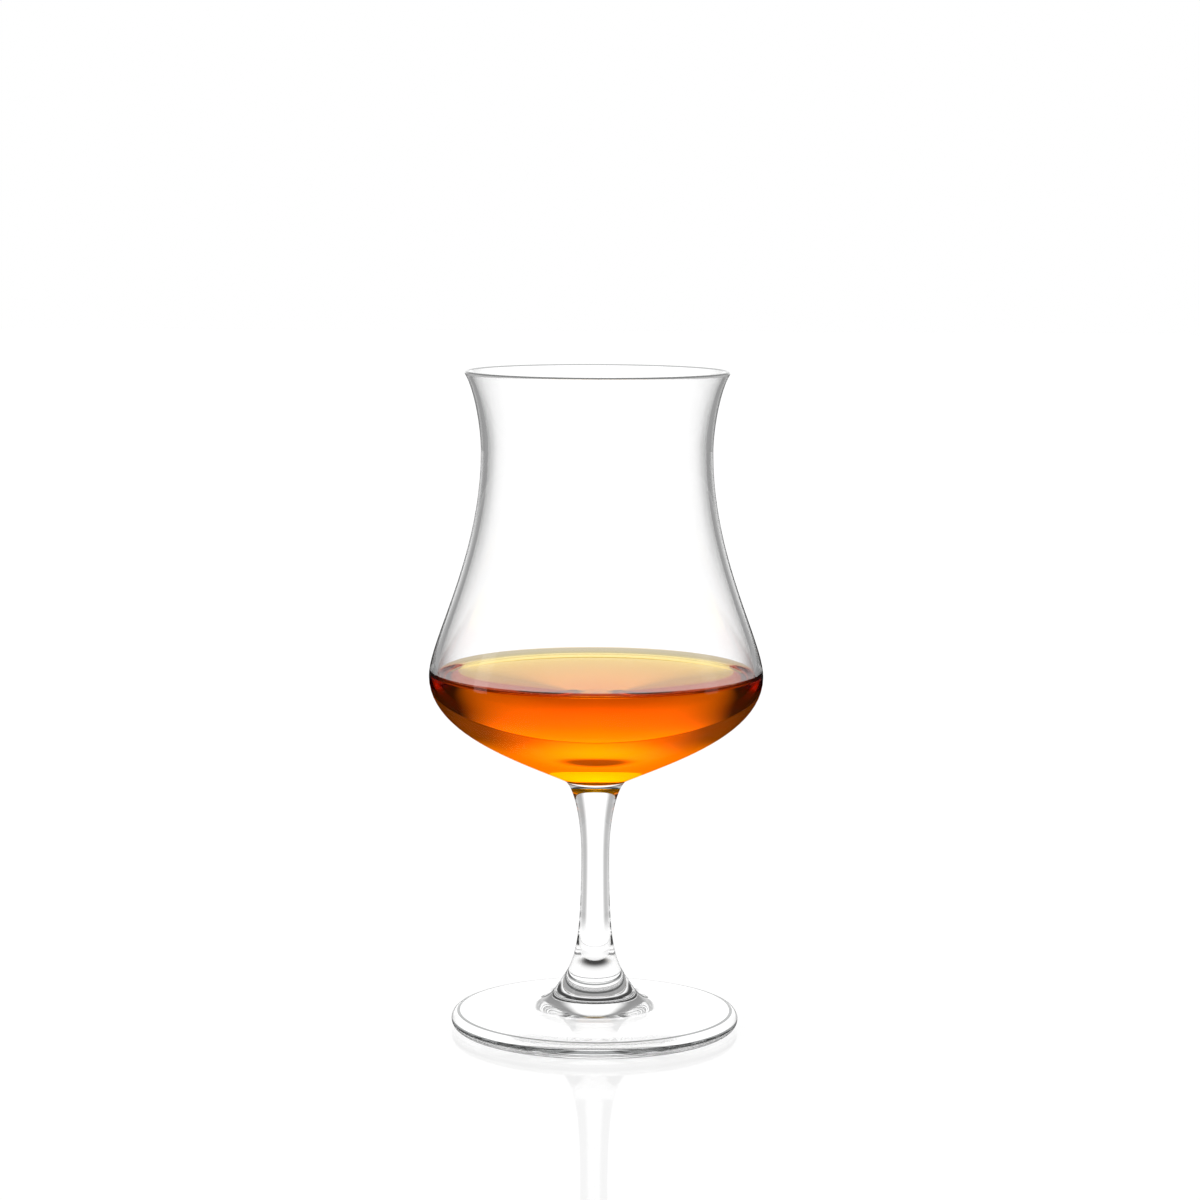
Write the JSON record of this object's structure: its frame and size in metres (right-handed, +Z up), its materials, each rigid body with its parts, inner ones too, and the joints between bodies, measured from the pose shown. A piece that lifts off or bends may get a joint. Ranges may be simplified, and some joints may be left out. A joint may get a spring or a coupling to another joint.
{
  "type": "cognac glass",
  "caption": "Stemmed tulip glass of clear glass with a flared lip, a bellied bowl and a round foot, holding a pour of amber cognac.",
  "frame": {"origin": "on the axis of the glass, in the plane that the foot stands on", "axes": "+Z up along the axis of the glass, from the foot to the lip; +X and +Y are any two square directions, because the glass is round"},
  "size_m": [0.08, 0.08, 0.1585],
  "materials": {
    "clear_glass": "clear fire-polished glass",
    "cognac": "clear amber spirit"
  },
  "bodies": {
    "root": {"foot": "clear_glass", "stem": "clear_glass", "bowl": "clear_glass", "cognac": "cognac"}
  },
  "joints": []
}
